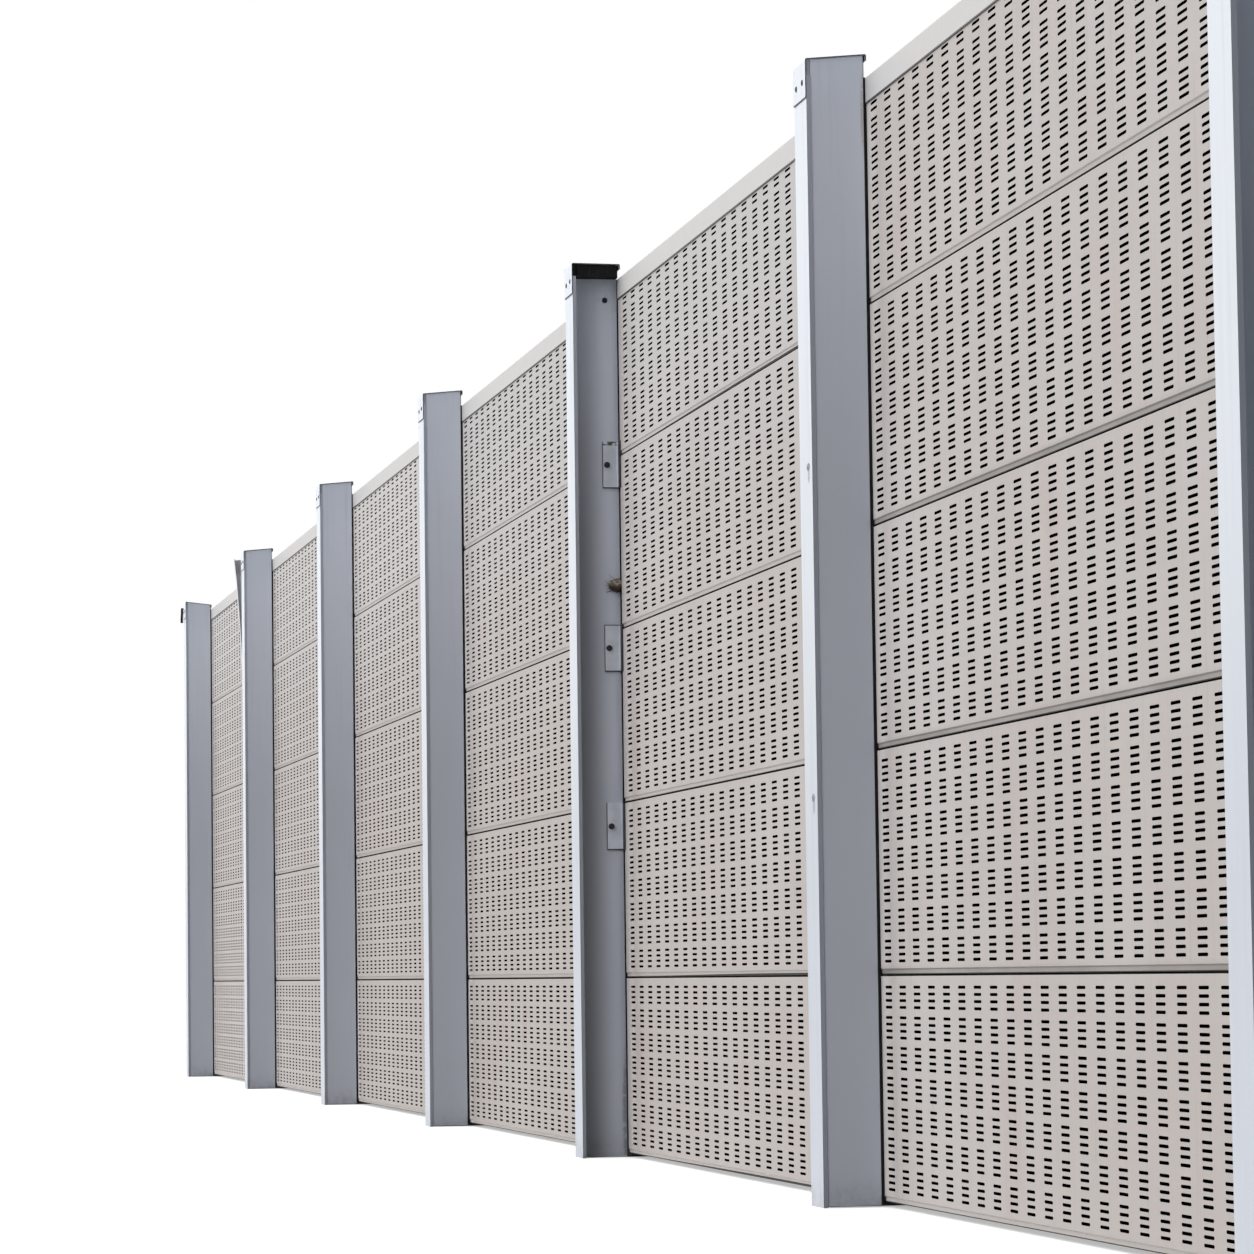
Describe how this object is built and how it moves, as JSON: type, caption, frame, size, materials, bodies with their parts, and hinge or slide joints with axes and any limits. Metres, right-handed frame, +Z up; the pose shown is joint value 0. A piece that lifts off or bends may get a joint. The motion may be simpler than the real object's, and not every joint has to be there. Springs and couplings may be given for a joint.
{
  "type": "noise barrier section",
  "caption": "Straight run of roadside noise barrier: perforated absorbing panels stacked between hooded steel posts with cover plates, weathered, a cover missing and another peeling away.",
  "frame": {"origin": "centre of the middle post's foot, at ground level", "axes": "+X along the wall, -Y out of the perforated front, +Z up"},
  "size_m": [18.121, 0.26, 2.5756],
  "materials": {
    "post_paint": "satin blue-grey paint",
    "panel_coating": "matt light grey coating, weathered",
    "capping_coating": "matt pale grey coating",
    "clip_steel": "galvanised and dull",
    "gasket_rubber": "matt black"
  },
  "bodies": {
    "root": {"post_1": "post_paint", "post_2": "post_paint", "post_3": "post_paint", "post_4": "post_paint", "post_5": "post_paint", "post_6": "post_paint", "post_7": "post_paint", "panel_bay1_row1": "panel_coating", "panel_bay1_row2": "panel_coating", "panel_bay1_row3": "panel_coating", "panel_bay1_row4": "panel_coating", "panel_bay1_row5": "panel_coating", "panel_bay2_row1": "panel_coating", "panel_bay2_row2": "panel_coating", "panel_bay2_row3": "panel_coating", "panel_bay2_row4": "panel_coating", "panel_bay2_row5": "panel_coating", "panel_bay3_row1": "panel_coating", "panel_bay3_row2": "panel_coating", "panel_bay3_row3": "panel_coating", "panel_bay3_row4": "panel_coating", "panel_bay3_row5": "panel_coating", "panel_bay4_row1": "panel_coating", "panel_bay4_row2": "panel_coating", "panel_bay4_row3": "panel_coating", "panel_bay4_row4": "panel_coating", "panel_bay4_row5": "panel_coating", "panel_bay5_row1": "panel_coating", "panel_bay5_row2": "panel_coating", "panel_bay5_row3": "panel_coating", "panel_bay5_row4": "panel_coating", "panel_bay5_row5": "panel_coating", "panel_bay6_row1": "panel_coating", "panel_bay6_row2": "panel_coating", "panel_bay6_row3": "panel_coating", "panel_bay6_row4": "panel_coating", "panel_bay6_row5": "panel_coating", "wall_cappings": "capping_coating", "post_hoods": "post_paint", "cover_plates_right": "post_paint", "cover_plates_left": "post_paint", "loose_cover_plate": "post_paint", "cover_gaskets": "gasket_rubber", "panel_seals": "gasket_rubber", "panel_clips": "clip_steel"}
  },
  "joints": []
}
